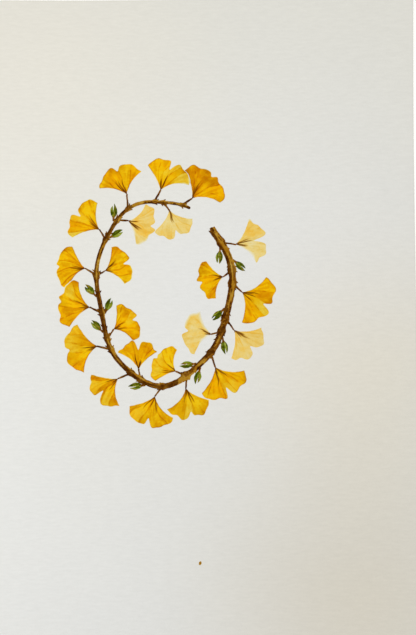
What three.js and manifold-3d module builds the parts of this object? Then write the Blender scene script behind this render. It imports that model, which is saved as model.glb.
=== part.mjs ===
// A sheet of watercolour paper, lying face up, with an open wreath of ginkgo leaves painted on it.
// Millimetres. +X runs to the picture's right, +Y to its top and +Z up. The origin is on the surface
// that the sheet lies on, under the middle of the sheet.
import * as THREE from "three";
import { mergeVertices } from "three/addons/utils/BufferGeometryUtils.js";
import Module from "manifold-3d";

const wasm = await Module();
wasm.setup();

// The sheet: a quarter of an imperial sheet, cut clean on all four sides
const SHEET_WIDTH = 279.4;
const SHEET_HEIGHT = 381;
const SHEET_THICKNESS = 0.6;
const SHEET_COLUMNS = 18;
const SHEET_ROWS = 24;
const PAPER_COLOUR = 0xe2e0d8;
const PAPER_ROUGHNESS = 0.9;

// Each corner curls up by lift, in a bend that begins reach away from it, counted along both edges
const CORNERS = [
  { across: 1, up: 1, lift: 4.5, reach: 120 },
  { across: 1, up: -1, lift: 8, reach: 150 },
  { across: -1, up: -1, lift: 4, reach: 120 },
  { across: -1, up: 1, lift: 3, reach: 110 },
];
// The right-hand edge rises a little too, all along the sheet
const RIGHT_EDGE_LIFT = 1.5;
const RIGHT_EDGE_START = 75;

// The coats of paint are drawn thicker than life, and a strip of bare paper parts neighbours
const COAT_THICKNESS = 0.2;
const COAT_ROUGHNESS = 0.85;
const WHITE_GAP = 0.4;
// What cuts a coat back reaches well above it
const CUTTER_TOP = 1.8;
// Corners closer than this are one corner
const WELD_DISTANCE = 1e-4;

// The twig runs clockwise round an oval that stays open at the upper right
const WREATH_CENTRE = new THREE.Vector2(-11, 15);
const WREATH_RADII = new THREE.Vector2(40, 55);
const TWIG_START = THREE.MathUtils.degToRad(42);
const TWIG_SWEEP = THREE.MathUtils.degToRad(-336);
// It sways in and out of the oval: how far, how many waves go round, and where the waves start
const TWIG_SWAYS = [[1.6, 3, 0.7], [0.7, 7, 0]];
const TWIG_BUTT_WIDTH = 4.4;
const TWIG_TIP_WIDTH = 1.8;
const TWIG_STEPS = 200;
const TWIG_COLOUR = 0x78502a;
// Where a stalk grows from it, the twig swells to a knot
const KNOT_SWELLING = 0.34;
const KNOT_LENGTH = 0.006;

// Leaves stand outside and inside the twig. Each pair is the least and the most of a value
const OUTER_LEAVES = {
  side: 1, count: 14, first: 0.035, last: 0.985,
  lean: [48, 66], stalk: [6.5, 9], reach: [17.5, 20.5],
};
const INNER_LEAVES = {
  side: -1, count: 8, first: 0.09, last: 0.93,
  lean: [42, 60], stalk: [5.5, 7], reach: [15, 17.5],
};
const LEAF_SEED = 152;
const PLACE_JITTER = 0.006;
const FAN_BOW = [0.1, 0.5];
const FAN_SPREAD = [50, 64];
const FAN_NOTCH = [0.12, 0.34];
const FAN_WAVE = [0.02, 0.045];
const FAN_BEND = [-0.16, 0.16];
const FAN_START = 1;
// The share of its spread that a fan has at the apex, and how fast it opens
const FAN_FOOT = 0.5;
const FAN_FLARE = 0.8;
const NOTCH_WIDTH = 0.085;
const RIM_DROOP = 0.13;
// The rim's waves: how strong, how many, and how they shift from leaf to leaf
const RIM_WAVES = [[1, 9, 1], [0.5, 17, 2]];
const RIM_STEPS = 28;
const SIDE_STEPS = 6;
const STALK_WIDTH = 1.3;
const STALK_TAPER = 0.3;
const STALK_STEPS = 4;
// Full, middling and thin washes of yellow
const LEAF_COLOURS = [0xe3a70e, 0xe6b41e, 0xecc868];

// Green buds: the place along the twig, and the side of it
const BUDS = [
  [0.075, 1], [0.22, 1], [0.3, 1], [0.44, 1], [0.585, 1], [0.655, 1], [0.805, 1],
  [0.045, -1], [0.165, -1], [0.3, -1], [0.62, -1], [0.77, -1],
];
const BUD_LENGTH = 8.8;
const BUD_WIDTH = 4.2;
const BUD_LEAN = THREE.MathUtils.degToRad(34);
const BUD_GAP = 0.7;
const BUD_STEPS = 8;
// A bud's outline is this stretch of half a wave, so that its ends are blunt
const BUD_STRETCH = [0.04, 0.96];
const BUD_COLOUR = 0x62702a;

// A fleck of brown paint that fell below the wreath: an oval that leans to the right
const SPECK_PLACE = new THREE.Vector2(9.9, -146.8);
const SPECK_RADII = new THREE.Vector2(0.8, 1.2);
const SPECK_LEAN = THREE.MathUtils.degToRad(-18);
const SPECK_SIDES = 12;
const SPECK_COLOUR = 0xa8662a;

const part = new THREE.Group();

function paint(colour, roughness) {
  return new THREE.MeshStandardMaterial({ color: colour, roughness, metalness: 0 });
}

function addMesh(name, geometry, colour, roughness = COAT_ROUGHNESS) {
  const mesh = new THREE.Mesh(geometry, paint(colour, roughness));
  mesh.name = name;
  part.add(mesh);
  return mesh;
}

// Numbers from 0 to 1, the same ones on every run
function* draws(seed) {
  let state = seed;
  while (true) {
    state = (state * 1664525 + 1013904223) % 2 ** 32;
    yield state / 2 ** 32;
  }
}

// How high the underside is above the table at (x, y)
function liftAt(x, y) {
  const past = Math.max(0, x - RIGHT_EDGE_START) / (SHEET_WIDTH / 2 - RIGHT_EDGE_START);
  let height = RIGHT_EDGE_LIFT * past ** 2;
  for (const { across, up, lift, reach } of CORNERS) {
    const away = SHEET_WIDTH / 2 - across * x + SHEET_HEIGHT / 2 - up * y;
    height += lift * Math.max(0, 1 - away / reach) ** 2;
  }
  return height;
}

// A closed slab on a grid of squares, both faces split into triangles alike
function sheetGeometry() {
  const across = SHEET_COLUMNS + 1;
  const perFace = across * (SHEET_ROWS + 1);
  const positions = [];
  for (const level of [0, SHEET_THICKNESS]) {
    for (let row = 0; row <= SHEET_ROWS; row += 1) {
      for (let column = 0; column <= SHEET_COLUMNS; column += 1) {
        const x = (column / SHEET_COLUMNS - 0.5) * SHEET_WIDTH;
        const y = (row / SHEET_ROWS - 0.5) * SHEET_HEIGHT;
        positions.push(x, y, level + liftAt(x, y));
      }
    }
  }
  const triangles = [];
  for (let row = 0; row < SHEET_ROWS; row += 1) {
    for (let column = 0; column < SHEET_COLUMNS; column += 1) {
      const a = row * across + column;
      const b = a + 1;
      const c = b + across;
      const d = a + across;
      triangles.push(a, c, b, a, d, c);
      triangles.push(a + perFace, b + perFace, c + perFace, a + perFace, c + perFace, d + perFace);
    }
  }
  const rim = [];
  for (let column = 0; column < SHEET_COLUMNS; column += 1) rim.push(column);
  for (let row = 0; row < SHEET_ROWS; row += 1) rim.push(row * across + SHEET_COLUMNS);
  for (let column = SHEET_COLUMNS; column > 0; column -= 1) rim.push(SHEET_ROWS * across + column);
  for (let row = SHEET_ROWS; row > 0; row -= 1) rim.push(row * across);
  rim.forEach((here, i) => {
    const next = rim[(i + 1) % rim.length];
    triangles.push(here, next, next + perFace, here, next + perFace, here + perFace);
  });
  const geometry = new THREE.BufferGeometry();
  geometry.setAttribute("position", new THREE.Float32BufferAttribute(positions, 3));
  geometry.setIndex(triangles);
  return geometry;
}

// A flat outline raised to a slab between two levels
function slab(outline, bottom, top) {
  const shape = new THREE.Shape(outline);
  const geometry = new THREE.ExtrudeGeometry(shape, { depth: top - bottom, bevelEnabled: false });
  geometry.translate(0, 0, bottom);
  return geometry;
}

function toSolid(geometry) {
  const bare = geometry.clone();
  bare.deleteAttribute("normal");
  bare.deleteAttribute("uv");
  const merged = mergeVertices(bare, WELD_DISTANCE);
  return new wasm.Manifold(new wasm.Mesh({
    numProp: 3,
    vertProperties: new Float32Array(merged.attributes.position.array),
    triVerts: new Uint32Array(merged.index.array),
  }));
}

function toGeometry(solid) {
  const { vertProperties, triVerts, numProp } = solid.getMesh();
  const positions = [];
  for (let i = 0; i < vertProperties.length; i += numProp) {
    positions.push(vertProperties[i], vertProperties[i + 1], vertProperties[i + 2]);
  }
  const geometry = new THREE.BufferGeometry();
  geometry.setAttribute("position", new THREE.Float32BufferAttribute(positions, 3));
  geometry.setIndex(Array.from(triVerts));
  return geometry;
}

// The same outline with each point moved outwards by a distance
function grown(outline, distance) {
  const turn = THREE.ShapeUtils.isClockWise(outline) ? -1 : 1;
  return outline.map((point, i) => {
    const before = outline[(i + outline.length - 1) % outline.length];
    const after = outline[(i + 1) % outline.length];
    const along = after.clone().sub(before).normalize();
    return new THREE.Vector2(along.y, -along.x).multiplyScalar(turn * distance).add(point);
  });
}

const coat = (outline) => slab(outline, SHEET_THICKNESS, SHEET_THICKNESS + COAT_THICKNESS);
const cutter = (outline) => toSolid(slab(grown(outline, WHITE_GAP), 0, CUTTER_TOP));

function heading(angle, length = 1) {
  return new THREE.Vector2(Math.cos(angle), Math.sin(angle)).multiplyScalar(length);
}

// The twig's middle line, with place running from 0 at the butt to 1 at the tip
function twigPoint(place) {
  const angle = TWIG_START + TWIG_SWEEP * place;
  const sway = TWIG_SWAYS.reduce((sum, [far, waves, start]) => (
    sum + far * Math.sin(waves * angle + start)
  ), 0);
  return new THREE.Vector2(
    WREATH_CENTRE.x + (WREATH_RADII.x + sway) * Math.cos(angle),
    WREATH_CENTRE.y + (WREATH_RADII.y + sway) * Math.sin(angle),
  );
}

function twigHeading(place) {
  const step = 1e-3;
  return twigPoint(place + step).sub(twigPoint(place - step)).angle();
}

function twigHalfWidth(place, knots) {
  const plain = THREE.MathUtils.lerp(TWIG_BUTT_WIDTH, TWIG_TIP_WIDTH, place) / 2;
  const swelling = knots.reduce((sum, knot) => sum + Math.exp(-(((place - knot) / KNOT_LENGTH) ** 2)), 0);
  return plain * (1 + KNOT_SWELLING * swelling);
}

// Where each leaf stands, which way it faces and how its fan is shaped
function leafPlaces() {
  const draw = draws(LEAF_SEED);
  const between = ([least, most]) => least + (most - least) * draw.next().value;
  const leaves = [];
  for (const row of [OUTER_LEAVES, INNER_LEAVES]) {
    for (let i = 0; i < row.count; i += 1) {
      const even = row.first + ((row.last - row.first) * i) / (row.count - 1);
      const place = even + between([-PLACE_JITTER, PLACE_JITTER]);
      const way = twigHeading(place) + row.side * THREE.MathUtils.degToRad(between(row.lean));
      const root = twigPoint(place);
      const stalk = between(row.stalk);
      const reach = between(row.reach);
      const facing = way + row.side * between(FAN_BOW);
      leaves.push({
        place,
        root,
        apex: root.clone().add(heading(way, stalk)),
        facing,
        reach,
        spread: THREE.MathUtils.degToRad(between(FAN_SPREAD)),
        notch: between(FAN_NOTCH),
        wave: between(FAN_WAVE),
        phase: between([0, 2 * Math.PI]),
        bend: between(FAN_BEND),
        tone: draw.next().value,
      });
    }
  }
  return leaves;
}

// The distance from the leaf's apex to its waved and notched rim, at an angle from its middle
function rimRadius(leaf, angle) {
  const share = angle / leaf.spread;
  const cut = leaf.notch * Math.exp(-((angle / NOTCH_WIDTH) ** 2));
  const waves = RIM_WAVES.reduce((sum, [strength, count, shift]) => (
    sum + strength * Math.sin(count * share + shift * leaf.phase)
  ), 0);
  return leaf.reach * (1 - RIM_DROOP * share ** 4 - cut + leaf.wave * waves);
}

function fanPoint(leaf, radius, angle) {
  const bent = angle + leaf.bend * (radius / leaf.reach) ** 2;
  return leaf.apex.clone().add(heading(leaf.facing + bent, radius));
}

// Half the angle that the fan fills at a radius: it narrows towards the apex
function halfAngle(leaf, radius) {
  return leaf.spread * THREE.MathUtils.lerp(FAN_FOOT, 1, Math.min(1, radius / leaf.reach) ** FAN_FLARE);
}

function fanOutline(leaf) {
  const outline = [];
  const sidePoint = (end, i) => {
    const radius = THREE.MathUtils.lerp(FAN_START, rimRadius(leaf, end * leaf.spread), i / SIDE_STEPS);
    return fanPoint(leaf, radius, end * halfAngle(leaf, radius));
  };
  for (let i = 0; i < SIDE_STEPS; i += 1) outline.push(sidePoint(-1, i));
  for (let i = 0; i <= RIM_STEPS; i += 1) {
    const end = (2 * i) / RIM_STEPS - 1;
    const angle = end * halfAngle(leaf, rimRadius(leaf, end * leaf.spread));
    outline.push(fanPoint(leaf, rimRadius(leaf, angle), angle));
  }
  for (let i = SIDE_STEPS - 1; i >= 0; i -= 1) outline.push(sidePoint(1, i));
  return outline;
}

// A ribbon along a line of points, as wide on each side as halfWidth says
function ribbon(points, halfWidth) {
  const left = [];
  const right = [];
  points.forEach((point, i) => {
    const before = points[Math.max(0, i - 1)];
    const after = points[Math.min(points.length - 1, i + 1)];
    const along = after.clone().sub(before).normalize();
    const across = new THREE.Vector2(-along.y, along.x).multiplyScalar(halfWidth(i / (points.length - 1)));
    left.push(point.clone().add(across));
    right.unshift(point.clone().sub(across));
  });
  return left.concat(right);
}

function twigOutline(knots) {
  const points = Array.from({ length: TWIG_STEPS + 1 }, (_, i) => twigPoint(i / TWIG_STEPS));
  return ribbon(points, (place) => twigHalfWidth(place, knots));
}

function stalkOutline(leaf) {
  const points = Array.from({ length: STALK_STEPS + 1 }, (_, i) => (
    leaf.root.clone().lerp(leaf.apex, i / STALK_STEPS)
  ));
  return ribbon(points, (place) => (STALK_WIDTH / 2) * (1 - STALK_TAPER * place));
}

function budOutline(place, side, knots) {
  const out = twigHeading(place) + (side * Math.PI) / 2;
  const root = twigPoint(place).add(heading(out, twigHalfWidth(place, knots) + BUD_GAP));
  const way = twigHeading(place) + side * BUD_LEAN;
  const points = Array.from({ length: BUD_STEPS + 1 }, (_, i) => (
    root.clone().add(heading(way, (BUD_LENGTH * i) / BUD_STEPS))
  ));
  return ribbon(points, (along) => (
    (BUD_WIDTH / 2) * Math.sin(Math.PI * THREE.MathUtils.lerp(...BUD_STRETCH, along))
  ));
}

const numbered = (name, index) => `${name}_${String(index + 1).padStart(2, "0")}`;

addMesh("paper_sheet", sheetGeometry(), PAPER_COLOUR, PAPER_ROUGHNESS);

const leaves = leafPlaces();
const knots = leaves.map((leaf) => leaf.place);
const twig = twigOutline(knots);
const stalks = leaves.map(stalkOutline);
const branch = stalks.reduce((solid, stalk) => solid.add(toSolid(coat(stalk))), toSolid(coat(twig)));
addMesh("painted_twig", toGeometry(branch), TWIG_COLOUR);

// A leaf stops short of the twig, of the other leaves' stalks and of the leaves painted before it
const fans = leaves.map(fanOutline);
leaves.forEach((leaf, index) => {
  const inFront = [twig, ...stalks.filter((_, other) => other !== index), ...fans.slice(0, index)];
  const fan = inFront.reduce((solid, outline) => solid.subtract(cutter(outline)), toSolid(coat(fans[index])));
  const colour = LEAF_COLOURS[Math.floor(leaf.tone * LEAF_COLOURS.length)];
  addMesh(numbered("painted_leaf", index), toGeometry(fan), colour);
});

BUDS.forEach(([place, side], index) => {
  addMesh(numbered("painted_bud", index), coat(budOutline(place, side, knots)), BUD_COLOUR);
});

const speck = Array.from({ length: SPECK_SIDES }, (_, i) => {
  const point = heading((2 * Math.PI * i) / SPECK_SIDES).multiply(SPECK_RADII).add(SPECK_PLACE);
  return point.rotateAround(SPECK_PLACE, SPECK_LEAN);
});
addMesh("painted_speck", coat(speck), SPECK_COLOUR);

export default part;
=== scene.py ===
"""A sheet of watercolour paper and the wreath of ginkgo leaves painted on it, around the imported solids.

Lengths are in millimetres until a mesh, a light or a material is made. The wreath is laid out by the
same rules and the same draws as the solids, so each finer piece lies where its solid does.
"""

import math
from functools import partial
from types import SimpleNamespace

import bpy
import numpy as np
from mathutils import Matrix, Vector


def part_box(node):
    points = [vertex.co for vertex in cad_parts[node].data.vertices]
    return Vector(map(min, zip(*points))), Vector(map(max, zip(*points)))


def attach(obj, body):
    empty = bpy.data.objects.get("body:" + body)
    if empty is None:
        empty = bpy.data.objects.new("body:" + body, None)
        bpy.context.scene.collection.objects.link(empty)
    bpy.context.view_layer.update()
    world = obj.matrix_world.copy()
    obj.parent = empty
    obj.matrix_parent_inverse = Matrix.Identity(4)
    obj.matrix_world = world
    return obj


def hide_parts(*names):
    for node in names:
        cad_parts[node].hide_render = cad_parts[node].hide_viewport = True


MM = 0.001

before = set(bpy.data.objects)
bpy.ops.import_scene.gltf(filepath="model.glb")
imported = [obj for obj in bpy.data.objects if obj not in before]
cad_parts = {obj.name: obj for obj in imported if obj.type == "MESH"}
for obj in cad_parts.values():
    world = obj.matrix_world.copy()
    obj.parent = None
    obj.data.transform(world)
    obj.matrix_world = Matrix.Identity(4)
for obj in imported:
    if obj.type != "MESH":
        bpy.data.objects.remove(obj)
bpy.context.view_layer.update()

# The sheet, cut clean on all four sides
SHEET_LOW, SHEET_HIGH = (np.array(corner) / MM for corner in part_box("paper_sheet"))
SHEET_WIDTH, SHEET_HEIGHT = SHEET_HIGH[:2] - SHEET_LOW[:2]
SHEET_THICKNESS = 0.6
# Squares of the painted face: narrow up the sheet, because the ribs of its tooth run across it
FACE_COLUMNS, FACE_ROWS = 148, 560
# Each square of the back spans this many columns and rows of the face
BACK_STRIDE = (4, 10)
# How far the cut edge drops, and where the narrow squares along it end
EDGE_ROUNDING = 0.07
EDGE_STEPS = np.array((0.14, 0.9))

# Each corner curls up by lift, in a bend that begins reach away from it, counted along both edges
CORNERS = (
    SimpleNamespace(across=1, up=1, lift=4.5, reach=120),
    SimpleNamespace(across=1, up=-1, lift=8, reach=150),
    SimpleNamespace(across=-1, up=-1, lift=4, reach=120),
    SimpleNamespace(across=-1, up=1, lift=3, reach=110),
)
# The right-hand edge rises a little too, all along the sheet
RIGHT_EDGE_LIFT = 1.5
RIGHT_EDGE_START = 75
# Shallow waves that damp paint leaves in the sheet
COCKLE_HEIGHT = 0.2
COCKLE_SIZE = 70
# The tooth of its cold-pressed face: mostly coarse ribs, the rest half as large, which sway up and down
TOOTH_HEIGHT = 0.05
TOOTH_SIZE = np.array((5.5, 1.6))
COARSE_RIBS = 0.7
TOOTH_SWAY = 2.4
TOOTH_SWAY_SIZE = np.array((34, 12))

# The twig runs clockwise round an oval that stays open at the upper right
WREATH_CENTRE = np.array((-11, 15))
WREATH_RADII = np.array((40, 55))
TWIG_START = math.radians(42)
TWIG_SWEEP = math.radians(-336)
# It sways in and out of the oval: how far, how many waves go round, and where the waves start
TWIG_SWAYS = ((1.6, 3, 0.7), (0.7, 7, 0))
TWIG_WIDTHS = (4.4, 1.8)
TWIG_LENGTH = 280
# Where a stalk grows from it, the twig swells to a knot
KNOT_SWELLING = 0.34
KNOT_LENGTH = 0.006

# Leaves stand outside and inside the twig. Each pair is the least and the most of a value
OUTER_LEAVES = SimpleNamespace(
    side=1, count=14, first=0.035, last=0.985, lean=(48, 66), stalk=(6.5, 9), reach=(17.5, 20.5)
)
INNER_LEAVES = SimpleNamespace(
    side=-1, count=8, first=0.09, last=0.93, lean=(42, 60), stalk=(5.5, 7), reach=(15, 17.5)
)
LEAF_SEED = 152
PLACE_JITTER = (-0.006, 0.006)
FAN_BOW = (0.1, 0.5)
FAN_SPREAD = (50, 64)
FAN_NOTCH = (0.12, 0.34)
FAN_WAVE = (0.02, 0.045)
FAN_BEND = (-0.16, 0.16)
# The share of its spread that a fan has at the apex, and how fast it opens
FAN_FOOT = 0.5
FAN_FLARE = 0.8
NOTCH_WIDTH = 0.085
RIM_DROOP = 0.13
# The rim's waves: how strong, how many, and how they shift from leaf to leaf
RIM_WAVES = ((1, 9, 1), (0.5, 17, 2))
STALK_WIDTHS = (1.3, 0.91)

# Green buds: the place along the twig, and the side of it
BUDS = (
    (0.075, 1), (0.22, 1), (0.3, 1), (0.44, 1), (0.585, 1), (0.655, 1), (0.805, 1),
    (0.045, -1), (0.165, -1), (0.3, -1), (0.62, -1), (0.77, -1),
)
BUD_LENGTH = 8.8
BUD_WIDTH = 4.2
BUD_LEAN = math.radians(34)
BUD_GAP = 0.7
# A bud's outline is this stretch of half a wave, so that its ends are blunt
BUD_STRETCH = (0.04, 0.96)

# A fleck of brown paint that fell below the wreath: an oval that leans to the right
SPECK_PLACE = np.array((9.9, -146.8))
SPECK_RADII = (0.8, 1.2)
SPECK_LEAN = math.radians(-18)

# The coats of paint: the grid they are cut from, and how far it reaches past the solid
COAT_STEP = 0.22
COAT_MARGIN = 2
# Their height at the rim, how much higher they are inside it, where that slope ends, and how deep they soak
COAT_RIM = 0.03
COAT_BODY = 0.04
COAT_SLOPE = 0.8
COAT_SOAK = 0.1
# The twig's coat lies over the leaves' where a stalk meets its fan
TWIG_LIFT = 0.03
# Bare paper between two neighbours, and the area of the smallest patch that the brush leaves
WHITE_GAP = 0.3
LEAST_PATCH = 1.5
# A cut point keeps this far from the ends of its grid line, so that no triangle is a sliver
CUT_SHARE = (0.08, 0.92)
SHARP_ANGLE = math.radians(40)

# The image strips that a bake gives to a piece's back, its edges and its painted face
BACK_STRIP = (0.005, 0.19)
EDGE_STRIP = (0.2, 0.21)
FACE_STRIP = (0.22, 0.995)
# A face belongs to an edge where its normal rises or falls less than this
EDGE_TILT = 0.5
# The least width that a face is taken to have, in metres, so that it can be divided by
TINY = 1e-9

# The paper's tone and each pigment at full strength on it, as sRGB values of 0 to 255
PAPER_TONE = (224, 222, 214)
YELLOW = (238, 182, 5)
ORANGE = (197, 136, 1)
PEACH = (234, 187, 88)
OCHRE = (158, 108, 20)
UMBER = (112, 65, 7)
SEPIA = (78, 40, 2)
MOSS = (134, 142, 42)
PINE = (70, 79, 4)
# How strongly each wash gathers in the tooth, and its roughness
YELLOW_WASH = (0.45, 0.85)
BROWN_WASH = (0.5, 0.8)
GREEN_WASH = (0.4, 0.82)
WASH_SPECULAR = 0.02

# The paper's colour where it is cool and where it is warm, and its mottling with painted shade in the ribs
# of its tooth: sizes and strengths
PAPER_COOL = (0.768, 0.758, 0.722)
PAPER_WARM = (0.762, 0.746, 0.694)
WARMTH_SIZE = 90
PAPER_MOTTLE_AND_RIB_SHADE = ((45, 0.03), ((6, 1.5), 0.09), ((2.5, 1), 0.03), (0.5, 0.04))
PAPER_ROUGHNESS = 0.92
PAPER_SPECULAR = 0.1
# Soft patches of painted light and shade in the paper's colour: painted shade that darkens and yellows it
# towards the lower right, and painted light that brightens it about the middle and warms it at the upper
# left. For each: the middle, the reach and each colour's gain
PAINTED_LIGHT_AND_SHADE = (
    ((105, -170, 0), 130, (-0.05, -0.095, -0.175)),
    ((105, -35, 0), 110, (0.005, -0.035, -0.12)),
    ((65, 25, 0), 175, (0.03, 0.04, 0.08)),
    ((-105, 145, 0), 170, (0.045, 0.02, -0.025)),
)
# The tooth's finer layers, too small for the mesh, and how far it stands out
TOOTH_LAYERS = (((4, 1.4), 0.8), ((1.4, 0.8), 0.6), (0.5, 0.3))
TOOTH_BUMP = 0.12

# A pale floor just under the sheet, its faint shades and its glow, and the even light of the room
FLOOR_SIZE = 12000
FLOOR_GAP = 0.05
FLOOR_COLOUR = (0.86, 0.86, 0.85)
FLOOR_SHADES = ((300, 0.02), (4, 0.02))
FLOOR_ROUGHNESS = 0.7
FLOOR_GLOW = 0.35
ROOM_LIGHT = 0.55
# Soft lights: name, place, size, watts and colour
LIGHTS = (
    ("cool_side", (-440, -200, 450), 350, 2, (0.83, 0.885, 1)),
    ("warm_top", (60, 190, 450), 350, 0.63, (1, 0.97, 0.78)),
)

# The camera looks down on the sheet from near its middle
CAMERA_PLACE = (15.7, -12.7, 478)
CAMERA_TILT = math.radians(1.38)
CAMERA_ROLL = math.radians(-0.5)
CAMERA_LENS = 45.35
CAMERA_NEAR = 10

# The noise repeats after this many blobs. Clouds are layers of it: their shares and how fine they are
NOISE_REPEAT = 64
CLOUD_LAYERS = ((0.55, 1), (0.29, 2.1), (0.16, 4.3))
# How much finer detail the materials' own noise has
NOISE_DETAIL = 2
# The seed of each field of noise. Each leaf adds its number to the seeds that start with "own"
SEEDS = SimpleNamespace(
    cockle=5, tooth_sway=7, coarse_ribs=8, fine_ribs=9,
    rough_twig=91, frayed_butt=93, stalk_edge=94,
    twig_cloud=96, bark_stroke=97, bark_streak=98, stalk_patch=99, bark_speck=100,
    leaf_edge=11, stroke_sway=31, seam_break=41, rim_break=61, leaf_grain=71, streak_grain=73,
    melted_patch=101, own_vein=0, own_cloud=51, own_warm_patch=81, own_streak=120,
    bud_edge=111, bud_cloud=113,
)


# ------------------------------------------------------------------ numbers and noise

def draws(seed):
    """Numbers from 0 to 1, the same ones as the solids are laid out by."""
    state = seed
    while True:
        state = (state * 1664525 + 1013904223) % 2**32
        yield state / 2**32


def mix(limits, share):
    """The value at a share of the way from the first of two limits to the second."""
    return limits[0] + (limits[1] - limits[0]) * share


def ease(start, end, value):
    """0 up to start and 1 from end, with a smooth change between them."""
    t = np.clip((value - start) / (end - start), 0, 1)
    return t * t * (3 - 2 * t)


def noise(x, y, size, seed):
    """Smooth random values from 0 to 1, in blobs of a size or of a width and a height."""
    width, height = np.broadcast_to(size, 2)
    values = np.random.default_rng(seed).random((NOISE_REPEAT, NOISE_REPEAT))
    u, v = np.broadcast_arrays(x / width, y / height)
    i, j = np.floor(u).astype(int), np.floor(v).astype(int)
    a, b = ease(0, 1, u - i), ease(0, 1, v - j)
    left, right = i % NOISE_REPEAT, (i + 1) % NOISE_REPEAT
    low, high = j % NOISE_REPEAT, (j + 1) % NOISE_REPEAT
    below = values[left, low] * (1 - a) + values[right, low] * a
    above = values[left, high] * (1 - a) + values[right, high] * a
    return below * (1 - b) + above * b


def clouds(x, y, size, seed):
    """Noise with two finer layers in it."""
    return sum(
        share * noise(x, y, size / finer, seed + i) for i, (share, finer) in enumerate(CLOUD_LAYERS)
    )


def swing(field, strength):
    """A field of noise as a swing to both sides of 0, of a strength from end to end."""
    return strength * (field - 0.5)


def linear(srgb):
    """Linear colour from sRGB values of 0 to 255."""
    c = np.array(srgb) / 255
    return np.where(c <= 0.04045, c / 12.92, ((c + 0.055) / 1.055) ** 2.4)


def absorbed(pigment):
    """How strongly a pigment takes red, green and blue out of the paper's colour.

    Where the pigment is brighter than the paper, this is below 0.
    """
    return -np.log(linear(pigment) / linear(PAPER_TONE))


def heading(angle, length=1):
    """A step of a length in a direction."""
    return np.array((math.cos(angle), math.sin(angle))) * length


# ------------------------------------------------------------------ the sheet's shape

def lift_at(x, y):
    """How high the underside is above the table, by the rule of the solid."""
    past = np.maximum(0, x - RIGHT_EDGE_START) / (SHEET_WIDTH / 2 - RIGHT_EDGE_START)
    height = RIGHT_EDGE_LIFT * past**2
    for corner in CORNERS:
        away = SHEET_WIDTH / 2 - corner.across * x + SHEET_HEIGHT / 2 - corner.up * y
        height = height + corner.lift * np.maximum(0, 1 - away / corner.reach) ** 2
    return height


def back_at(x, y):
    """The underside, with the waves that damp paint leaves."""
    return lift_at(x, y) + COCKLE_HEIGHT * clouds(x, y, COCKLE_SIZE, SEEDS.cockle)


def face_at(x, y):
    """The painted face: the back's shape with the ribs of the tooth on it."""
    swayed = y + TOOTH_SWAY * noise(x, y, TOOTH_SWAY_SIZE, SEEDS.tooth_sway)
    coarse = noise(x, swayed, TOOTH_SIZE, SEEDS.coarse_ribs)
    fine = noise(x, swayed, TOOTH_SIZE / 2, SEEDS.fine_ribs)
    ribs = mix((fine, coarse), COARSE_RIBS)
    return back_at(x, y) + SHEET_THICKNESS + TOOTH_HEIGHT * (ribs - 1)


def grid_lines(length, count):
    """Even steps across the sheet, but for two narrow ones at each edge."""
    lines = np.linspace(-length / 2, length / 2, count + 1)
    lines[1:3] = lines[0] + EDGE_STEPS
    lines[-3:-1] = lines[-1] - EDGE_STEPS[::-1]
    return lines


def grid_faces(point):
    """Squares between the points of a grid, given as rows of numbers, turned to face up."""
    corners = (point[:-1, :-1], point[:-1, 1:], point[1:, 1:], point[1:, :-1])
    return np.stack([corner.ravel() for corner in corners], 1)


def grid_sides(point):
    """The four sides of a grid's rim, anticlockwise, each with both its end points."""
    return point[0], point[:, -1], point[-1, ::-1], point[::-1, 0]


def sheet_mesh():
    """The face and the back as grids, and the cut edges between them."""
    x, y = np.meshgrid(grid_lines(SHEET_WIDTH, FACE_COLUMNS), grid_lines(SHEET_HEIGHT, FACE_ROWS))
    z = face_at(x, y) - EDGE_ROUNDING
    z[1:-1, 1:-1] += EDGE_ROUNDING
    face_points = np.stack([x, y, z], -1).reshape(-1, 3)
    face = np.arange(x.size).reshape(x.shape)

    across, up = BACK_STRIDE
    x, y = x[::up, ::across], y[::up, ::across]
    back_points = np.stack([x, y, back_at(x, y)], -1).reshape(-1, 3)
    back = np.arange(x.size).reshape(x.shape) + face.size

    faces = grid_faces(face).tolist() + grid_faces(back)[:, ::-1].tolist()
    for top, bottom in zip(grid_sides(face), grid_sides(back)):
        stride = (len(top) - 1) // (len(bottom) - 1)
        for i in range(len(bottom) - 1):
            above = top[i * stride:(i + 1) * stride + 1]
            faces.append([*bottom[i:i + 2].tolist(), *above[::-1].tolist()])
    return np.concatenate([face_points, back_points]), faces


# ------------------------------------------------------------------ the wreath's layout

def twig_point(place):
    """The twig's middle line, with place running from 0 at the butt to 1 at the tip."""
    angle = TWIG_START + TWIG_SWEEP * np.asarray(place)
    sway = sum(far * np.sin(waves * angle + start) for far, waves, start in TWIG_SWAYS)
    across = (WREATH_RADII[0] + sway) * np.cos(angle)
    up = (WREATH_RADII[1] + sway) * np.sin(angle)
    return WREATH_CENTRE + np.stack([across, up], -1)


def twig_heading(place):
    step = 1e-3
    along = twig_point(place + step) - twig_point(place - step)
    return np.arctan2(along[..., 1], along[..., 0])


def leaf_places():
    """Where each leaf stands, which way it faces and how its fan is shaped."""
    draw = draws(LEAF_SEED)

    def between(limits):
        return mix(limits, next(draw))

    leaves = []
    for row in (OUTER_LEAVES, INNER_LEAVES):
        for i in range(row.count):
            even = row.first + (row.last - row.first) * i / (row.count - 1)
            place = even + between(PLACE_JITTER)
            way = twig_heading(place) + row.side * math.radians(between(row.lean))
            root = twig_point(place)
            stalk = between(row.stalk)
            reach = between(row.reach)
            facing = way + row.side * between(FAN_BOW)
            leaves.append(SimpleNamespace(
                place=place,
                side=row.side,
                root=root,
                apex=root + heading(way, stalk),
                facing=facing,
                reach=reach,
                spread=math.radians(between(FAN_SPREAD)),
                notch=between(FAN_NOTCH),
                wave=between(FAN_WAVE),
                phase=between((0, 2 * math.pi)),
                bend=between(FAN_BEND),
                tone=next(draw),
            ))
    return leaves


LEAVES = leaf_places()
KNOTS = np.array([leaf.place for leaf in LEAVES])


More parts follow.
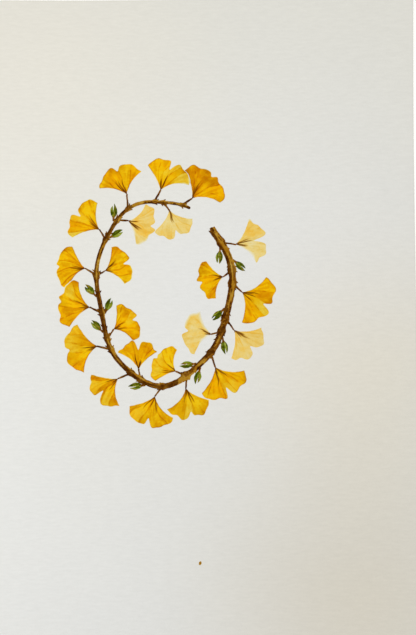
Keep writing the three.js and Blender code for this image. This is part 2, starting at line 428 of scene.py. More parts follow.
def twig_half_width(place):
    """Half the twig's width at a place, with its knots."""
    place = np.asarray(place)
    swelling = np.exp(-(((place[..., None] - KNOTS) / KNOT_LENGTH) ** 2)).sum(-1)
    return mix(TWIG_WIDTHS, place) / 2 * (1 + KNOT_SWELLING * swelling)


# ------------------------------------------------------------------ outlines

# The nearest place on the twig is looked for in this many steps, and then in finer and finer ones
SEARCH_STEPS = 160
SEARCH_FINER = 10
SEARCH_ROUNDS = 3


def fan_at(leaf, x, y):
    """How far inside a leaf's outline, how far out along the leaf and how far to its side."""
    x, y = x - leaf.apex[0], y - leaf.apex[1]
    radius = np.hypot(x, y)
    out = radius / leaf.reach
    turn = np.arctan2(y, x) - leaf.facing
    angle = (turn + math.pi) % (2 * math.pi) - math.pi - leaf.bend * out**2
    share = np.clip(angle / leaf.spread, -1, 1)
    notch = leaf.notch * np.exp(-((share * leaf.spread / NOTCH_WIDTH) ** 2))
    waves = sum(
        strength * np.sin(count * share + shift * leaf.phase) for strength, count, shift in RIM_WAVES
    )
    rim = leaf.reach * (1 - RIM_DROOP * share**4 - notch + leaf.wave * waves)
    limit = leaf.spread * mix((FAN_FOOT, 1), np.minimum(1, out) ** FAN_FLARE)
    edge = np.minimum(rim - radius, (limit - np.abs(angle)) * radius)
    return edge, out, angle / leaf.spread


def stroke_at(x, y, start, end, widths):
    """How far inside a straight stroke with round ends."""
    along = end - start
    t = np.clip(((x - start[0]) * along[0] + (y - start[1]) * along[1]) / (along @ along), 0, 1)
    away = np.hypot(x - start[0] - t * along[0], y - start[1] - t * along[1])
    return mix(widths, t) / 2 - away


def stalk_at(leaf, x, y):
    return stroke_at(x, y, leaf.root, leaf.apex, STALK_WIDTHS)


def beside_twig(x, y):
    """The nearest place on the twig, how far past its ends and how far to its outer side."""
    point = np.stack([x, y], -1)[:, None]
    place = np.zeros((len(x), 1))
    tries = np.linspace(0, 1, SEARCH_STEPS + 1)
    step = 1 / SEARCH_STEPS
    for _ in range(SEARCH_ROUNDS):
        near = np.clip(place + tries, 0, 1)
        gaps = np.linalg.norm(twig_point(near) - point, axis=-1)
        place = np.take_along_axis(near, gaps.argmin(1)[:, None], 1)
        tries = np.linspace(-step, step, 2 * SEARCH_FINER + 1)
        step /= SEARCH_FINER
    offset = (point - twig_point(place))[:, 0]
    place = place[:, 0]
    turn = twig_heading(place)
    past = offset[:, 0] * np.cos(turn) + offset[:, 1] * np.sin(turn)
    side = offset[:, 1] * np.cos(turn) - offset[:, 0] * np.sin(turn)
    return place, past, side


# ------------------------------------------------------------------ the twig's coat

# Here and for the other coats, a pair that goes to ease is where something starts to show and where it
# shows in full, and one that goes to mix or to a draw is the least and the most of a value

# Scales of bark at the knots and the buds: where along the twig and on which side of it they grow
BARK_SEED = 31
BARK_STEPS = ((-1, 1), (0.2, -1), (1, 1))
BARK_SPACING = 0.005
BARK_JITTER = 0.5
# How far out from the twig's middle a scale starts, how it leans from the twig, and its size
BARK_ROOT = 0.7
BARK_LEAN = (0.3, 1)
BARK_LENGTH = (1.2, 2)
BARK_WIDTHS = (1.1, 0.4)

# The oval's share within which the twig is looked for. Elsewhere it counts as this far away
NEAR_OVAL = 0.18
FAR_AWAY = 9.0
# How rough the twig's edge is, and how far its frayed butt reaches past its start
ROUGH_SHARE = 0.3
ROUGH_SIZE = 2.4
FRAY_REACH = (-0.4, 1.2)
FRAY_WIDTH = 0.7
STALK_WOBBLE = 0.3
STALK_WOBBLE_SIZE = 1.5
# The direction that the painted light comes from
LIT_SIDE = np.array((0.94, 0.34))

# Broad strokes and fine streaks of bark: their length, and their width in half widths of the twig
STROKE_SIZE = (9, 1 / 2.3)
STREAK_SIZE = (3.5, 1 / 3.3)
BARK_SPECK_SIZE = 0.8
TWIG_CLOUD_SIZE = 3
# Where across the twig the dark side starts and is full, and how far strokes and specks shift that
DARK_SIDE = (0, -0.25)
STROKE_SHIFT = 0.8
SPECK_SHIFT = 0.4
# Streaks that the dark leaves bare, and streaks that are dark on both sides of the twig
BARE_STREAKS = (0.1, 0.25)
DARK_STREAKS = (0.6, 0.74)
DARK_STREAK_GRAIN = 0.15
# Strokes of ochre, which fade out on the dark side
LIGHT_STROKES = (0.36, 0.52)
LIGHT_STROKE_GRAIN = 0.3
LIGHT_SIDE = (-0.4, 0)
# Dark patches on the stalks, and how far outside the twig its own strokes fade out
STALK_PATCHES = (0.35, 0.6)
STALK_PATCH_SIZE = 1.6
TWIG_FADE = (-0.5, 0)
# The least and the most of each pigment
TWIG_SEPIA = (0.5, 1.4)
TWIG_UMBER = (0.65, 1.15)
TWIG_OCHRE = (0.5, 1.2)


def bark_strokes():
    """Short strokes that stand out from the twig round its knots and buds: start, end and widths."""
    draw = draws(BARK_SEED)
    strokes = []
    for knot, side in [(leaf.place, leaf.side) for leaf in LEAVES] + list(BUDS):
        for step, outer in BARK_STEPS:
            place = knot + (step + BARK_JITTER * next(draw)) * BARK_SPACING
            along = twig_heading(place)
            way = along + outer * side * mix(BARK_LEAN, next(draw))
            length = mix(BARK_LENGTH, next(draw))
            root = heading(along + outer * side * math.pi / 2, BARK_ROOT * twig_half_width(place))
            start = twig_point(place) + root
            strokes.append((start, start + heading(way, length), BARK_WIDTHS))
    return strokes


BARK = bark_strokes()


def rod_at(x, y):
    """How far inside the twig without its stalks, the nearest place on it, and how far to its lit side."""
    edge, place, lit = np.full(len(x), -FAR_AWAY), np.zeros(len(x)), np.zeros(len(x))
    oval = np.hypot(*((np.stack([x, y], -1) - WREATH_CENTRE) / WREATH_RADII).T)
    near = np.abs(oval - 1) < NEAR_OVAL
    if near.any():
        x, y = x[near], y[near]
        spot, past, side = beside_twig(x, y)
        half = twig_half_width(spot)
        rough = half * (1 + swing(clouds(x, y, ROUGH_SIZE, SEEDS.rough_twig), ROUGH_SHARE))
        inside = rough - np.where(past > 0, np.hypot(side, past), np.abs(side))
        frayed = past + mix(FRAY_REACH, noise(side, 0 * side, FRAY_WIDTH, SEEDS.frayed_butt))
        edge[near] = np.where(spot <= 0, np.minimum(inside, frayed), inside)
        place[near] = spot
        turn = twig_heading(spot)
        lit[near] = side / half * (np.cos(turn) * LIT_SIDE[1] - np.sin(turn) * LIT_SIDE[0])
    return edge, place, lit


def twig_edge(x, y):
    """The twig, its stalks and the scales of bark at its knots are one coat of paint."""
    edge = rod_at(x, y)[0]
    wobble = swing(noise(x, y, STALK_WOBBLE_SIZE, SEEDS.stalk_edge), STALK_WOBBLE)
    for leaf in LEAVES:
        edge = np.maximum(edge, stalk_at(leaf, x, y) + wobble)
    for stroke in BARK:
        edge = np.maximum(edge, stroke_at(x, y, *stroke))
    return edge


def twig_wash(x, y, edge):
    """Ochre and umber on the lit side, sepia down the other and in strokes along the bark."""
    rod, place, lit = rod_at(x, y)
    along = place * TWIG_LENGTH
    stroke = noise(along, lit, STROKE_SIZE, SEEDS.bark_stroke)
    streak = noise(along, lit, STREAK_SIZE, SEEDS.bark_streak)
    speck = noise(x, y, BARK_SPECK_SIZE, SEEDS.bark_speck)
    cloud = clouds(x, y, TWIG_CLOUD_SIZE, SEEDS.twig_cloud)

    dark = ease(*DARK_SIDE, lit + swing(stroke, STROKE_SHIFT) + swing(speck, SPECK_SHIFT))
    dark = dark * ease(*BARE_STREAKS, streak)
    dark = np.maximum(dark, ease(*DARK_STREAKS, streak + swing(speck, DARK_STREAK_GRAIN)))
    light = ease(*LIGHT_STROKES, stroke + swing(speck, LIGHT_STROKE_GRAIN)) * ease(*LIGHT_SIDE, lit)

    on_twig = ease(*TWIG_FADE, rod)
    on_stalk = ease(*STALK_PATCHES, noise(x, y, STALK_PATCH_SIZE, SEEDS.stalk_patch))
    dark = on_twig * dark + (1 - on_twig) * on_stalk
    light *= on_twig
    return {
        SEPIA: dark * mix(TWIG_SEPIA, cloud),
        UMBER: (1 - dark) * (1 - light) * mix(TWIG_UMBER, cloud),
        OCHRE: (1 - dark) * light * mix(TWIG_OCHRE, cloud),
    }


# ------------------------------------------------------------------ the leaves' coats

# The brush's wobble along a leaf
LEAF_WOBBLE = 0.35
LEAF_WOBBLE_SIZE = 2.2
# Strokes fan out from the apex, and sway to the side so many times along the leaf and across it
LEAF_STROKES = 5
STROKE_SWAY = 0.9
STROKE_SWAYS = (2.2, 1.5)
STROKE_STRENGTH = (0.85, 1.2)
STROKE_WARMTH = (0, 0.55)
# A leaf with a tone above this is a pale glaze all over, with this share of the full pigment
PALE_TONE = 0.74
GLAZE = 0.06
# The share of strokes that are thin, how near to a glaze they come, and from where along the leaf
THIN_STROKES = 0.2
THIN_SHARE = 0.6
THIN_FROM = (0.2, 0.8)
# Seams between strokes, and the dried line at the rim. Both are broken here and there
SEAM_WIDTH = 0.3
SEAM_BREAKS = (0.4, 0.6)
SEAM_BREAK_SIZE = 5
RIM_LINE = 0.35
RIM_BREAKS = (0.4, 0.52)
RIM_BREAK_SIZE = 6

# The amount of pigment: its clouds, its grain, and how much more there is in a seam and at the rim
LEAF_CLOUD = (0.75, 1.25)
LEAF_CLOUD_SIZE = 7
GRAIN = (0.88, 1.12)
GRAIN_SIZE = 0.7
SEAM_GAIN = 0.35
RIM_GAIN = 0.3
GLAZE_CLOUD = (0.35, 0.8)
# Orange takes over from yellow in clouds, in patches near the rim, in seams and lines, and at the apex
WARM_CLOUDS = (0.2, 0.7)
WARM_RIM = (0.5, 1)
WARM_PATCHES = (0.45, 0.7)
WARM_PATCH_SIZE = 8
ORANGE_PATCHES = 0.6
ORANGE_SEAMS = 0.4
ORANGE_LINES = 0.8
ORANGE_APEX = 0.6
ORANGE_APEX_REACH = (0.35, 0)
# Streaks of a dry brush: how many along the leaf and across it, and where they show
DRY_STREAKS = (3, 13)
DRY_STREAK_FIELD = (0.45, 0.8)
DRY_STREAK_GRAIN = 0.3
DRY_STREAK_GRAIN_SIZE = 0.8

# The brown apex: how dark and how far out it is, and how far the grain shifts that
APEX_SHADE = 0.9
APEX_REACH = (0.11, 0.04)
APEX_GRAIN = 0.06
# Brown veins from the apex: how far to the side, how far out, how wide and how dark they are
VEINS = 5
VEIN_ASIDE = 0.48
VEIN_REACH = (0.2, 0.65)
VEIN_WIDTH = 0.42
VEIN_CORE = 0.2
VEIN_SHADES = (0.45, 1)
# How far they bend and how often, and where along them they fade
VEIN_BEND = 0.25
VEIN_BENDS = 3
VEIN_FADE = (1, 0.55)

# How wide a crisp and a melted edge are, and the patches where the edges melt
CRISP_EDGE = 0.25
MELTED_EDGE = 2.6
MELTED_PATCHES = (0.55, 0.75)
MELTED_PATCH_SIZE = 13
LEAST_MELTED = 0.2
EDGE_FADE = (-0.2, 1)
# The browns' amounts in streaks, seams, veins and the rim's line, and what a glaze loses of ochre
OCHRE_STREAKS = 0.18
OCHRE_SEAMS = 0.1
OCHRE_LOST = 0.6
UMBER_VEINS = 0.6
UMBER_LINES = 0.18
SEPIA_VEINS = (0.2, 0.8)


def leaf_edge(index, x, y):
    """A leaf's fan, which stops short of the twig, the other stalks and the leaves painted before it."""
    edge = fan_at(LEAVES[index], x, y)[0]
    edge = edge + swing(clouds(x, y, LEAF_WOBBLE_SIZE, SEEDS.leaf_edge), LEAF_WOBBLE)
    in_front = [rod_at(x, y)[0]]
    in_front += [stalk_at(other, x, y) for i, other in enumerate(LEAVES) if i != index]
    in_front += [fan_at(other, x, y)[0] for other in LEAVES[:index]]
    return np.minimum(edge, -WHITE_GAP - np.max(in_front, 0))


def leaf_strokes(index, out, aside):
    """How far off the nearest seam, and a function that spreads values given for each stroke."""
    leaf = LEAVES[index]
    sways = noise(out * STROKE_SWAYS[0], aside * STROKE_SWAYS[1] + index, 1, SEEDS.stroke_sway)
    place = (aside + 1) / 2 * LEAF_STROKES + swing(sways, STROKE_SWAY)
    border = np.clip(np.round(place), 1, LEAF_STROKES - 1).astype(int)
    off_seam = (place - border) * 2 * leaf.spread / LEAF_STROKES * out * leaf.reach
    past_seam = ease(-SEAM_WIDTH, SEAM_WIDTH, off_seam)

    def by_stroke(values):
        return values[border - 1] * (1 - past_seam) + values[border] * past_seam

    return off_seam, by_stroke


def leaf_browns(index, out, aside, grain, draw):
    """How dark the brown apex and the veins that run out from it are."""
    leaf = LEAVES[index]
    brown = APEX_SHADE * ease(*APEX_REACH, out + APEX_GRAIN * (grain - 1))
    for _ in range(VEINS):
        line = draw.uniform(-VEIN_ASIDE, VEIN_ASIDE)
        reach = draw.uniform(*VEIN_REACH)
        shade = draw.uniform(*VEIN_SHADES)
        bend = swing(noise(out * VEIN_BENDS, 0 * out + line, 1, SEEDS.own_vein + index), VEIN_BEND)
        off_line = np.abs(aside - line - bend) * leaf.spread * out * leaf.reach
        vein = ease(VEIN_WIDTH, VEIN_CORE * VEIN_WIDTH, off_line) * ease(*VEIN_FADE, out / reach)
        brown = np.maximum(brown, shade * vein)
    return brown


def leaf_wash(index, x, y, edge):
    """Strokes that fan out from the apex, with darker seams, a broken line at the rim and brown veins."""
    leaf = LEAVES[index]
    _, out, aside = fan_at(leaf, x, y)
    draw = np.random.default_rng(LEAF_SEED + index)

    off_seam, by_stroke = leaf_strokes(index, out, aside)
    strength = by_stroke(draw.uniform(*STROKE_STRENGTH, LEAF_STROKES))
    warmth = by_stroke(draw.uniform(*STROKE_WARMTH, LEAF_STROKES))
    thin = by_stroke(draw.random(LEAF_STROKES) < THIN_STROKES)
    pale = 1 if leaf.tone > PALE_TONE else THIN_SHARE * thin * ease(*THIN_FROM, out)

    seam = np.exp(-((off_seam / SEAM_WIDTH) ** 2))
    seam = seam * ease(*SEAM_BREAKS, clouds(x, y, SEAM_BREAK_SIZE, SEEDS.seam_break))
    dried = np.exp(-((edge / RIM_LINE) ** 2))
    line = dried * ease(*RIM_BREAKS, noise(x, y, RIM_BREAK_SIZE, SEEDS.rim_break))
    cloud = clouds(x, y, LEAF_CLOUD_SIZE, SEEDS.own_cloud + index)
    grain = mix(GRAIN, noise(x, y, GRAIN_SIZE, SEEDS.leaf_grain))
    amount = strength * grain * mix(LEAF_CLOUD, cloud) * (1 + SEAM_GAIN * seam + RIM_GAIN * dried)

    patches = ease(*WARM_PATCHES, clouds(x, y, WARM_PATCH_SIZE, SEEDS.own_warm_patch + index))
    orange = warmth * ease(*WARM_CLOUDS, cloud) + ORANGE_PATCHES * ease(*WARM_RIM, out) * patches
    orange = orange + ORANGE_SEAMS * seam + ORANGE_LINES * line
    orange = np.maximum(np.minimum(orange, 1), ORANGE_APEX * ease(*ORANGE_APEX_REACH, out))

    streaks = noise(out * DRY_STREAKS[0], aside * DRY_STREAKS[1], 1, SEEDS.own_streak + index)
    grit = swing(noise(x, y, DRY_STREAK_GRAIN_SIZE, SEEDS.streak_grain), DRY_STREAK_GRAIN)
    streak = ease(*DRY_STREAK_FIELD, streaks + grit)
    brown = leaf_browns(index, out, aside, grain, draw)

    melting = ease(*MELTED_PATCHES, clouds(x, y, MELTED_PATCH_SIZE, SEEDS.melted_patch))
    soft = CRISP_EDGE + MELTED_EDGE * melting * np.maximum(LEAST_MELTED, pale)
    melted = ease(*EDGE_FADE, edge / soft) * (1 - brown)
    full = amount * mix((1, GLAZE), pale)
    glaze = pale * amount * mix(GLAZE_CLOUD, cloud)
    return {
        YELLOW: full * (1 - orange) * melted,
        ORANGE: full * orange * melted,
        PEACH: glaze * melted,
        OCHRE: (OCHRE_STREAKS * streak + OCHRE_SEAMS * seam) * (1 - OCHRE_LOST * pale) * melted,
        UMBER: UMBER_VEINS * brown + UMBER_LINES * line * (1 - pale),
        SEPIA: brown * mix(SEPIA_VEINS, cloud),
    }


# ------------------------------------------------------------------ the buds' coats

# A bud's foot runs under the twig's coat, and ends this far along the bud
BUD_FOOT = 1.4
BUD_FOOT_WIDTH = 1.2
BUD_FOOT_END = 0.3
# How far a bud's ends run past the solid's, and the wobble of its edge
BUD_OVERRUN = 0.1
BUD_WOBBLE = 0.3
BUD_WOBBLE_SIZE = 1.4
# The cleft between its two scales: how far aside and how wide it is, where it opens and where it starts
CLEFT_ASIDE = 0.3
CLEFT_WIDTH = 0.55
CLEFT_OPENING = (0.45, 1.1)
CLEFT_START = (0.45, 0.4)

# Strokes along a bud: their length in bud lengths and their width, and the number its seed is found by
BUD_STROKE_SIZE = (1 / 2.5, 1 / 1.9)
BUD_SEED_SCALE = 1000
# The strokes that are dark green, more of them on the inner side, and those that are brown
DARK_GREENS = (0.46, 0.62)
INNER_SIDE = (0.3, -0.8)
INNER_DARKNESS = 0.3
BROWN_STROKES = (0.3, 0.2)
BROWN_STROKE_SHADE = 0.5
BROWN_FOOT = (0.22, 0.08)
BUD_AMOUNT = (0.65, 1.25)
BUD_CLOUD_SIZE = 1


def bud_at(place, side, x, y):
    """How far inside a bud's outline, how far along it from 0 to 1, and how far to its outer side."""
    turn = float(twig_heading(place))
    root = twig_point(place) + heading(turn + side * math.pi / 2, twig_half_width(place) + BUD_GAP)
    way = turn + side * BUD_LEAN
    x, y = x - root[0], y - root[1]
    along = (x * math.cos(way) + y * math.sin(way)) / BUD_LENGTH
    aside = side * (y * math.cos(way) - x * math.sin(way))
    half = BUD_WIDTH / 2 * np.sin(math.pi * mix(BUD_STRETCH, np.clip(along, 0, 1)))
    half = np.maximum(half, BUD_FOOT_WIDTH / 2 * (along < BUD_FOOT_END))
    ends = np.minimum(along * BUD_LENGTH + BUD_FOOT, (1 - along) * BUD_LENGTH) + BUD_OVERRUN
    return np.minimum(half - np.abs(aside), ends), along, aside


def bud_edge(place, side, x, y):
    """Two narrow scales that part towards the tip."""
    edge, along, aside = bud_at(place, side, x, y)
    cleft = np.abs(aside - CLEFT_ASIDE) - CLEFT_WIDTH * ease(*CLEFT_OPENING, along)
    cleft = cleft + FAR_AWAY * ease(*CLEFT_START, along)
    return np.minimum(edge, cleft) + swing(noise(x, y, BUD_WOBBLE_SIZE, SEEDS.bud_edge), BUD_WOBBLE)


def bud_wash(place, side, x, y, edge):
    """Moss green with darker strokes along it, and a brown foot."""
    _, along, aside = bud_at(place, side, x, y)
    strokes = noise(along, aside, BUD_STROKE_SIZE, round(BUD_SEED_SCALE * place))
    dark = ease(*DARK_GREENS, strokes + INNER_DARKNESS * ease(*INNER_SIDE, aside))
    brown = BROWN_STROKE_SHADE * ease(*BROWN_STROKES, strokes)
    brown = np.maximum(ease(*BROWN_FOOT, along), brown)
    amount = mix(BUD_AMOUNT, noise(x, y, BUD_CLOUD_SIZE, SEEDS.bud_cloud))
    return {
        PINE: dark * (1 - brown) * amount,
        MOSS: (1 - dark) * (1 - brown) * amount,
        UMBER: brown * amount,
    }


# ------------------------------------------------------------------ the speck's coat

SPECK_WAVES = 5
SPECK_WAVE = 0.05
# Its pigments at the rim and inside it, and where they change
SPECK_OCHRE = (0.6, 0.8)
SPECK_OCHRE_EDGE = (0, 0.5)
SPECK_UMBER = (0, 0.2)
SPECK_UMBER_EDGE = (0.1, 0.6)


def speck_edge(x, y):
    """An oval that leans to the right, with a waved edge."""
    x, y = x - SPECK_PLACE[0], y - SPECK_PLACE[1]
    across = (x * math.cos(SPECK_LEAN) + y * math.sin(SPECK_LEAN)) / SPECK_RADII[0]
    up = (y * math.cos(SPECK_LEAN) - x * math.sin(SPECK_LEAN)) / SPECK_RADII[1]
    waves = SPECK_WAVE * np.sin(SPECK_WAVES * np.arctan2(up, across))
    return SPECK_RADII[0] * (1 + waves - np.hypot(across, up))


def speck_wash(x, y, edge):
    """Ochre, with some umber where the drop dried last."""
    return {
        OCHRE: mix(SPECK_OCHRE, ease(*SPECK_OCHRE_EDGE, edge)),
        UMBER: mix(SPECK_UMBER, ease(*SPECK_UMBER_EDGE, edge)),
    }


# ------------------------------------------------------------------ meshes

def without_scraps(edge):
    """The grid with every patch of paint cleared that is too small for a brush."""
    inside = edge > 0
    patch = np.where(inside, 1 + np.arange(edge.size).reshape(edge.shape), 0)
    grown = None
    while grown is None or (grown != patch).any():
        patch = patch if grown is None else grown
        around = [np.roll(patch, step, axis) for axis in (0, 1) for step in (1, -1)]
        grown = np.where(inside, np.maximum(patch, np.max(around, 0)), 0)
    areas = np.bincount(patch.ravel()) * COAT_STEP**2
    return np.where(inside & (areas[patch] < LEAST_PATCH), -COAT_STEP, edge)


def cut_out(x, y, edge):
    """The part of a grid where edge is above zero: points with their edge, triangles, and rim lines."""
    places = np.stack([x.ravel(), y.ravel(), edge.ravel()], 1)
    square = grid_faces(np.arange(edge.size).reshape(edge.shape))
    triangles = np.concatenate([square[:, [0, 1, 2]], square[:, [0, 2, 3]]])
    inside = places[triangles, 2] > 0
    count = inside.sum(1)

    # Each cut triangle is turned until the corner that differs from the other two comes first
    cut = (count == 1) | (count == 2)
    lone = count[cut] == 1
    odd = np.where(lone, inside[cut].argmax(1), (~inside[cut]).argmax(1))
    a, b, c = np.take_along_axis(triangles[cut], (odd[:, None] + np.arange(3)) % 3, 1).T

    # A grid line that the rim crosses gets one new point, which the triangles on both sides share
    ends = np.sort([np.concatenate([a, a]), np.concatenate([b, c])], 0)
    lines, line = np.unique(ends, axis=1, return_inverse=True)
    start, end = places[lines[0]], places[lines[1]]
    share = np.clip(start[:, 2] / (start[:, 2] - end[:, 2]), *CUT_SHARE)[:, None]
    places = np.concatenate([places, (start + share * (end - start)) * (1, 1, 0)])
    on_b, on_c = (edge.size + line.ravel()).reshape(2, -1)

    triangles = np.concatenate([
        triangles[count == 3],
        np.stack([a, on_b, on_c], 1)[lone],
        np.stack([on_b, b, c], 1)[~lone],
        np.stack([on_b, c, on_c], 1)[~lone],
    ])
    rim = np.concatenate([np.stack([on_b, on_c], 1)[lone], np.stack([on_c, on_b], 1)[~lone]])
    used, triangles = np.unique(triangles, return_inverse=True)
    return places[used], triangles.reshape(-1, 3), np.searchsorted(used, rim)


def make_piece(name, points, faces, material):
    """A smooth mesh with sharp edges, in metres, at the row frame's origin."""
    mesh = bpy.data.meshes.new(name)
    mesh.from_pydata((points * MM).tolist(), [], faces)
    mesh.shade_smooth()
    mesh.set_sharp_from_angle(angle=SHARP_ANGLE)
    mesh.materials.append(material)
    piece = bpy.data.objects.new(name, mesh)
    bpy.context.scene.collection.objects.link(piece)
    return piece


def hand_over(piece, node):
    """The piece rides on the part's one body and stands in for a node, whose solid it hides."""
    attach(piece, "root")
    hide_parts(node)


def make_coat(node, material, edge_at, wash_at, lift=0):
    """One coat of paint: a film with the form of edge_at, coloured by the pigments of wash_at."""
    low, high = (np.array(corner)[:2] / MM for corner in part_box(node))
    low, high = low - COAT_MARGIN, high + COAT_MARGIN
    x, y = np.meshgrid(np.arange(low[0], high[0], COAT_STEP), np.arange(low[1], high[1], COAT_STEP))
    edge = without_scraps(edge_at(x.ravel(), y.ravel()).reshape(x.shape))
    places, triangles, rim = cut_out(x, y, edge)
    x, y, edge = places.T
    count = len(x)

    paper = face_at(x, y)
    top = paper + lift + COAT_RIM + COAT_BODY * ease(0, COAT_SLOPE, edge)
    points = np.concatenate([np.stack([x, y, top], 1), np.stack([x, y, paper - COAT_SOAK], 1)])
    walls = np.stack([rim[:, 1], rim[:, 0], rim[:, 0] + count, rim[:, 1] + count], 1)
    faces = triangles.tolist() + (triangles[:, ::-1] + count).tolist() + walls.tolist()
    piece = make_piece(f"{node}_coat", points, faces, material)

    # What the pigments let through of the paper's colour, at each point of the film
    pigments = wash_at(x, y, edge).items()
    density = sum(amount[:, None] * absorbed(pigment) for pigment, amount in pigments)
    clear = np.column_stack([np.exp(-density), np.ones(count)])
    wash = piece.data.attributes.new("wash", "FLOAT_COLOR", "POINT")
    wash.data.foreach_set("color", np.concatenate([clear, clear]).ravel())
    add_bake_map(piece.data)
    hand_over(piece, node)


# ------------------------------------------------------------------ maps for baking

def read(items, name, width=1, kind=float):
    """A property of all the items of a mesh, as an array."""
    found = np.empty(len(items) * width, kind)
    items.foreach_get(name, found)
    return found.reshape(-1, width) if width > 1 else found


def add_bake_map(mesh):
    """Lays the painted face over most of the image, and its edges and back in strips under it."""
    sizes = read(mesh.polygons, "loop_total", kind=int)
    starts = np.cumsum(sizes) - sizes
    face = np.repeat(np.arange(len(sizes)), sizes)
    normal = read(mesh.polygons, "normal", 3)[face]
    place = read(mesh.vertices, "co", 3)[read(mesh.loops, "vertex_index", kind=int)]

    # The face and the back lie flat, with the longer side along the image
    longest = np.argsort(-np.ptp(place[:, :2], axis=0))
    flat = place[:, longest]
    flat = (flat - flat.min(0)) / np.ptp(flat, axis=0)

    # The faces of the edges stand next to each other, each one as wide as the others
    upright = np.abs(normal[:, 2]) < EDGE_TILT
    along = place[:, 1] * normal[:, 0] - place[:, 0] * normal[:, 1]
    wall = np.stack([along, place[:, 2]], 1)
    least = np.minimum.reduceat(wall, starts)[face]
    most = np.maximum.reduceat(wall, starts)[face]
    wall = (wall - least) / np.maximum(most - least, TINY)
    rank = np.cumsum(upright[starts]) - 1
    wall[:, 0] = (rank[face] + wall[:, 0]) / max(1, upright[starts].sum())

    strips = np.array([BACK_STRIP, EDGE_STRIP, FACE_STRIP])
    strip = strips[np.where(upright, 1, np.where(normal[:, 2] > 0, 2, 0))]
    unit = np.where(upright[:, None], wall, flat)
    unit[:, 1] = mix(strip.T, unit[:, 1])
    mesh.uv_layers.new(name="OFBake").uv.foreach_set("vector", unit.astype(np.float32).ravel())


# ------------------------------------------------------------------ materials

def add_node(tree, kind, inputs, **settings):
    """Adds a shader node, with each input set to a value or linked to a socket."""
    made = tree.nodes.new(f"ShaderNode{kind}")
    for name, value in settings.items():
        setattr(made, name, value)
    for name, value in inputs.items():
        if isinstance(value, bpy.types.NodeSocket):
            tree.links.new(value, made.inputs[name])
        else:
            made.inputs[name].default_value = value
    return made


def add_noise(tree, size):
    """Noise in blobs of a size, or of a width and a height, in millimetres of the sheet."""
    width, height = np.broadcast_to(size, 2) * MM
    place = add_node(tree, "TexCoord", {}).outputs["Object"]
    scales = (1 / width, 1 / height, 1 / width)
    scaled = add_node(tree, "VectorMath", {0: place, 1: scales}, operation="MULTIPLY").outputs[0]
    return add_node(tree, "TexNoise", {"Vector": scaled, "Scale": 1, "Detail": NOISE_DETAIL}).outputs[0]


def add_layers(tree, layers):
    """Noise of several sizes, each as strong as its layer says, added up to a value round 1."""
    value = 1 - sum(strength for _, strength in layers) / 2
    for size, strength in layers:
        inputs = {0: add_noise(tree, size), 1: strength, 2: value}
        value = add_node(tree, "Math", inputs, operation="MULTIPLY_ADD").outputs[0]
    return value


def new_material(name, roughness):
    """A material with its nodes and its main shader."""
    material = bpy.data.materials.new(name)
    material.use_nodes = True
    shader = material.node_tree.nodes["Principled BSDF"]
    shader.inputs["Roughness"].default_value = roughness
    return material, material.node_tree, shader


def painted_light_and_shade(tree):
    """What the soft patches of painted light and shade make of the paper's red, green and blue, with 1 for
    no change.
    """
    place = add_node(tree, "TexCoord", {}).outputs["Object"]
    total = (1, 1, 1)
    for middle, reach, gain in PAINTED_LIGHT_AND_SHADE:
        away = add_node(tree, "VectorMath", {0: place, 1: np.array(middle) * MM}, operation="DISTANCE")
        inputs = {0: away.outputs["Value"], 1: 0, 2: reach * MM, 3: 1, 4: 0}
        patch = add_node(tree, "MapRange", inputs, interpolation_type="SMOOTHSTEP").outputs[0]
        inputs = {0: patch, 1: gain, 2: total}
        total = add_node(tree, "VectorMath", inputs, operation="MULTIPLY_ADD").outputs[0]
    return total


def paper_surface(tree, shader):
    """Gives a shader the paper's tooth, and returns the paper's colour, with its painted light and shade,
    and the height of the tooth.
    """
    inputs = {0: add_noise(tree, WARMTH_SIZE), 6: (*PAPER_COOL, 1), 7: (*PAPER_WARM, 1)}
    tone = add_node(tree, "Mix", inputs, data_type="RGBA").outputs[2]
    # Painted light and shade: soft patches that darken and yellow the paper towards the lower right and
    # brighten it elsewhere
    tone = add_node(tree, "VectorMath", {0: tone, 1: painted_light_and_shade(tree)}, operation="MULTIPLY").outputs[0]
    # Mottling of the paper, with painted shade in layers shaped like the tooth's ribs
    shade = add_layers(tree, PAPER_MOTTLE_AND_RIB_SHADE)
    colour = add_node(tree, "VectorMath", {0: tone, "Scale": shade}, operation="SCALE").outputs[0]
    tooth = add_layers(tree, TOOTH_LAYERS)
    bump = add_node(tree, "Bump", {"Height": tooth, "Distance": TOOTH_BUMP * MM, "Strength": 1})
    tree.links.new(bump.outputs[0], shader.inputs["Normal"])
    return colour, tooth


def paper_material():
    material, tree, shader = new_material("cold_pressed_paper", PAPER_ROUGHNESS)
    colour, _ = paper_surface(tree, shader)
    tree.links.new(colour, shader.inputs["Base Color"])
    shader.inputs["Specular IOR Level"].default_value = PAPER_SPECULAR
    return material


def wash_material(name, granulation, roughness):
    """Paper seen through the pigments of the wash, which gather where the tooth is deep."""
    material, tree, shader = new_material(name, roughness)
    paper, tooth = paper_surface(tree, shader)
    wash = add_node(tree, "Attribute", {}, attribute_name="wash").outputs["Color"]
    inputs = {0: tooth, 1: -granulation, 2: 1 + granulation}
    amount = add_node(tree, "Math", inputs, operation="MULTIPLY_ADD").outputs[0]
    grained = add_node(tree, "Gamma", {"Color": wash, "Gamma": amount}).outputs[0]
    colour = add_node(tree, "VectorMath", {0: paper, 1: grained}, operation="MULTIPLY").outputs[0]
    tree.links.new(colour, shader.inputs["Base Color"])
    shader.inputs["Specular IOR Level"].default_value = WASH_SPECULAR
    return material


def floor_material():
    material, tree, shader = new_material("pale_floor", FLOOR_ROUGHNESS)
    shade = add_layers(tree, FLOOR_SHADES)
    colour = add_node(tree, "VectorMath", {0: FLOOR_COLOUR, "Scale": shade}, operation="SCALE").outputs[0]
    tree.links.new(colour, shader.inputs["Base Color"])
    shader.inputs["Emission Color"].default_value = (1, 1, 1, 1)
    shader.inputs["Emission Strength"].default_value = FLOOR_GLOW
    return material


# ------------------------------------------------------------------ the scene round the part

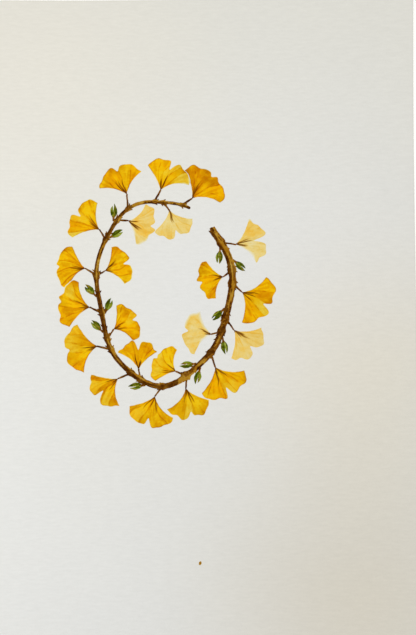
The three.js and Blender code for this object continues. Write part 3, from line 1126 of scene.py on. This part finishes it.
def add_camera():
    data = bpy.data.cameras.new("camera")
    data.lens = CAMERA_LENS
    data.clip_start = CAMERA_NEAR * MM
    camera = bpy.data.objects.new("camera", data)
    camera.location = np.array(CAMERA_PLACE) * MM
    camera.rotation_euler = (CAMERA_TILT, 0, CAMERA_ROLL)
    bpy.context.scene.collection.objects.link(camera)
    bpy.context.scene.camera = camera


def add_light(name, place, size, watts, colour):
    """A square soft light that faces the middle of the sheet."""
    data = bpy.data.lights.new(name, "AREA")
    data.size = size * MM
    data.energy = watts
    data.color = colour
    light = bpy.data.objects.new(name, data)
    light.visible_camera = False
    light.location = np.array(place) * MM
    light.rotation_euler = (-light.location).to_track_quat("-Z", "Y").to_euler()
    bpy.context.scene.collection.objects.link(light)


def add_room():
    """A pale floor and an even light from all round."""
    corners = np.array(((-1, -1), (1, -1), (1, 1), (-1, 1))) * FLOOR_SIZE / 2
    points = np.column_stack([corners, np.full(len(corners), -FLOOR_GAP)])
    floor = make_piece("floor", points, [(0, 1, 2, 3)], floor_material())
    world = bpy.data.worlds.new("room")
    world.use_nodes = True
    background = world.node_tree.nodes["Background"]
    background.inputs["Color"].default_value = (1, 1, 1, 1)
    background.inputs["Strength"].default_value = ROOM_LIGHT
    bpy.context.scene.world = world
    bpy.context.scene.view_settings.view_transform = "Standard"


# ------------------------------------------------------------------ the part

add_camera()
for light in LIGHTS:
    add_light(*light)
add_room()

sheet = make_piece("paper_sheet_face", *sheet_mesh(), paper_material())
add_bake_map(sheet.data)
hand_over(sheet, "paper_sheet")

yellow_paint = wash_material("yellow_wash", *YELLOW_WASH)
brown_paint = wash_material("brown_wash", *BROWN_WASH)
green_paint = wash_material("green_wash", *GREEN_WASH)

for index in range(len(LEAVES)):
    node = f"painted_leaf_{index + 1:02d}"
    make_coat(node, yellow_paint, partial(leaf_edge, index), partial(leaf_wash, index))
make_coat("painted_twig", brown_paint, twig_edge, twig_wash, TWIG_LIFT)
for index, bud in enumerate(BUDS):
    node = f"painted_bud_{index + 1:02d}"
    make_coat(node, green_paint, partial(bud_edge, *bud), partial(bud_wash, *bud))
make_coat("painted_speck", brown_paint, speck_edge, speck_wash)
